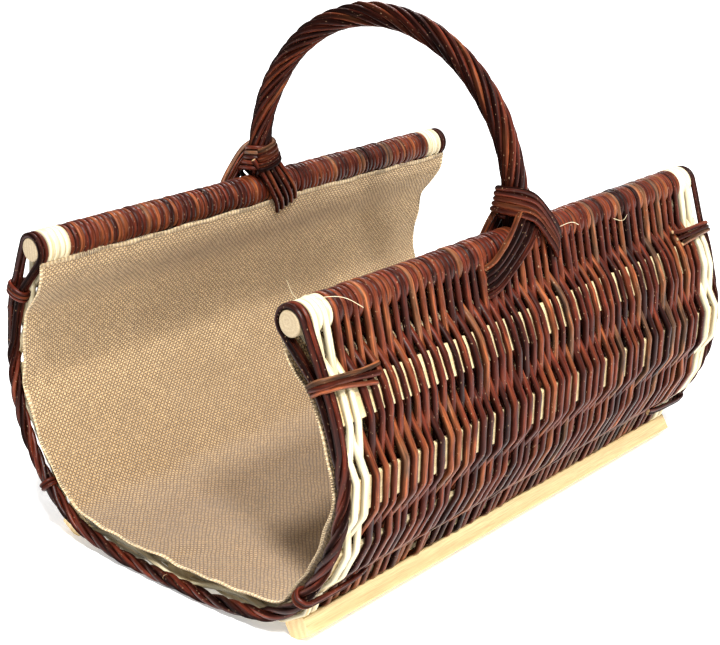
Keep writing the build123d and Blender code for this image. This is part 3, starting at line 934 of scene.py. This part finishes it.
def cloth_points(section, tangents, inward, u, v):
    """The cloth with its folds, from its flat places u across the trough and v along the rails."""
    width, length = u.max(), v.max()
    flat = np.zeros_like(u)
    from_hem = np.minimum(u, width - u)
    from_end = np.minimum(v, length - v)
    relief = 1.8 * waves(u, v, 150) + 0.9 * waves(u, v, 48)
    gathers = np.exp(-from_end / 22) * waves(u, v * 0.15, 34)
    lift = (1.5 + relief + 1.7 * (gathers + 0.4)) * (0.35 + 0.65 * np.clip(from_hem / 25, 0, 1))
    slide = (waves(v, flat, 150) * 3.2 + waves(v, flat, 46) * 1.7 + 1.0) * np.exp(-from_hem / 18)
    slide = np.where(u < width / 2, -slide, slide)
    end_pull = np.exp(-from_end / 16) * (waves(u, flat, 60) * 1.6 - 1.0)
    y = v - length / 2
    points = np.empty((*u.shape, 3))
    points[:, :, 0] = section[:, None, 0] + inward[:, None, 0] * lift + tangents[:, None, 0] * slide
    points[:, :, 1] = y + np.where(y > 0, 1, -1) * end_pull
    points[:, :, 2] = section[:, None, 1] + inward[:, None, 1] * lift + tangents[:, None, 1] * slide
    return points


def build_liner():
    section, tangents, inward = cloth_section()
    width = lengths(section)
    length = 2 * (CLOTH_OVERHANG - box("liner")[0][1])
    u, v = np.meshgrid(width, np.linspace(0, length, int(length / CLOTH_STEP)), indexing="ij")
    points = cloth_points(section, tangents, inward, u, v)
    ids = np.arange(u.size).reshape(u.shape)
    quads = np.stack([ids[:-1, :-1], ids[1:, :-1], ids[1:, 1:], ids[:-1, 1:]], axis=-1).reshape(-1, 4)
    mesh = smooth_mesh("liner_cloth", points.reshape(-1, 3), quads.tolist(), JUTE)
    set_points(mesh, "flat", np.stack([u, v, np.zeros_like(u)], axis=-1).reshape(-1, 3) * MM)
    mesh.update()
    cloth = bpy.data.objects.new("liner_cloth", mesh)
    thick = cloth.modifiers.new("thickness", "SOLIDIFY")
    thick.thickness = CLOTH_THICKNESS * MM
    thick.offset = 0
    place(cloth, "jute_cloth", "liner")
    hem = build_hem(points)


def build_hem(points):
    """The cloth's edge turned over: a flattened roll along each of its four sides."""
    bundle = Bundle()
    for edge, inside, radius in (
        (points[0], points[2], 1.15),
        (points[-1], points[-3], 1.15),
        (points[:, 0], points[:, 2], 0.95),
        (points[:, -1], points[:, -3], 0.95),
    ):
        inward = unit((inside - edge)[len(edge) // 2])
        middle = edge + (inside - edge) * 0.18
        bundle.rod(middle, radius, tone=0.5, wide=1.9, taper=0, side=inward, buds=0.5, rough=0.12)
    hem = bundle.piece("liner_hem", JUTE_HEM, "jute_cloth")
    set_points(hem.data, "flat", np.concatenate(bundle.bark)[:, [2, 1, 0]] * MM)
    return hem


# --- CAD nodes that stay ------------------------------------------------------------------------
def carry(node, material):
    """Gives a CAD node that keeps its own shape its finish."""
    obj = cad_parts[node]
    if not obj.material_slots:
        obj.data.materials.append(material)
    for material_slot in obj.material_slots:
        material_slot.material = material


# --- Surroundings -------------------------------------------------------------------------------
FLOOR_HALF = 12


def build_floor():
    """A white floor that glows faintly, so that it stays white under the basket."""
    s = Shader("studio_floor")
    where = s.node("ShaderNodeTexCoord").outputs["Object"]
    tint = s.ramp(s.noise(where, 6.0, 2), [(0.3, 0.94), (0.7, 0.95)])
    s.principled.inputs["Emission Color"].default_value = (1, 1, 1, 1)
    s.principled.inputs["Emission Strength"].default_value = 0.35
    material = s.surface(tint, 0.85, specular=0.2)
    corners = [(FLOOR_HALF * x, FLOOR_HALF * y, 0) for x, y in ((-1, -1), (1, -1), (1, 1), (-1, 1))]
    mesh = bpy.data.meshes.new("floor")
    mesh.from_pydata(corners, [], [(0, 1, 2, 3)])
    mesh.materials.append(material)
    floor = bpy.data.objects.new("floor", mesh)
    bpy.context.scene.collection.objects.link(floor)


def area_light(name, position, target, size, power):
    data = bpy.data.lights.new(name, "AREA")
    data.shape = "DISK"
    data.size = size
    data.energy = power
    light = bpy.data.objects.new(name, data)
    light.location = position
    light.rotation_euler = (Vector(target) - Vector(position)).to_track_quat("-Z", "Y").to_euler()
    bpy.context.scene.collection.objects.link(light)


def build_light():
    """An even white world, a soft sun from the right, a lamp for glints and one behind."""
    world = bpy.data.worlds.new("studio")
    world.use_nodes = True
    background = world.node_tree.nodes["Background"]
    background.inputs["Color"].default_value = (1, 1, 1, 1)
    background.inputs["Strength"].default_value = 0.5
    bpy.context.scene.world = world
    sun = bpy.data.lights.new("sun", "SUN")
    sun.energy = 4.0
    sun.angle = radians(9)
    light = bpy.data.objects.new("sun", sun)
    light.rotation_euler = Vector((-0.45, 0.35, -1.0)).to_track_quat("-Z", "Y").to_euler()
    bpy.context.scene.collection.objects.link(light)
    area_light("glints", (1.3, -0.9, 1.5), (0, 0, 0.15), 0.2, 36)
    area_light("back", (-0.9, 1.2, 1.6), (0, 0, 0.2), 0.4, 12)


def build_camera():
    """A long lens from the front right, above the basket, tilted a little."""
    azimuth, elevation, roll = radians(42.48), radians(19.0), radians(-1.37)
    forward = Vector((-sin(azimuth) * cos(elevation), cos(azimuth) * cos(elevation), -sin(elevation)))
    right = Vector((cos(azimuth), sin(azimuth), 0))
    up = right.cross(forward)
    x_axis = right * cos(roll) + up * sin(roll)
    y_axis = up * cos(roll) - right * sin(roll)
    data = bpy.data.cameras.new("camera")
    data.sensor_width = 36
    data.lens = 74
    data.clip_end = 50
    camera = bpy.data.objects.new("camera", data)
    matrix = Matrix((x_axis, y_axis, -forward)).transposed().to_4x4()
    matrix.translation = Vector((0.8264, -0.9299, 0.5821))
    camera.matrix_world = matrix
    bpy.context.scene.collection.objects.link(camera)
    bpy.context.scene.camera = camera


# --- Build --------------------------------------------------------------------------------------
build_camera()
build_weave()
for end_name, sign in (("front", -1), ("back", 1)):
    build_border(end_name, sign)
    build_ties(end_name, sign)
build_handle()
build_lashings()
build_shreds()
build_liner()
for name in SLAT_NAMES:
    carry(name, SLAT_WOOD)
for side_name in ("right", "left"):
    carry(f"rail_{side_name}", RAIL_WOOD)
    carry(f"runner_{side_name}", RUNNER_WOOD)
carry("runner_screws", STEEL)
build_floor()
build_light()
bpy.context.scene.view_settings.view_transform = "Standard"
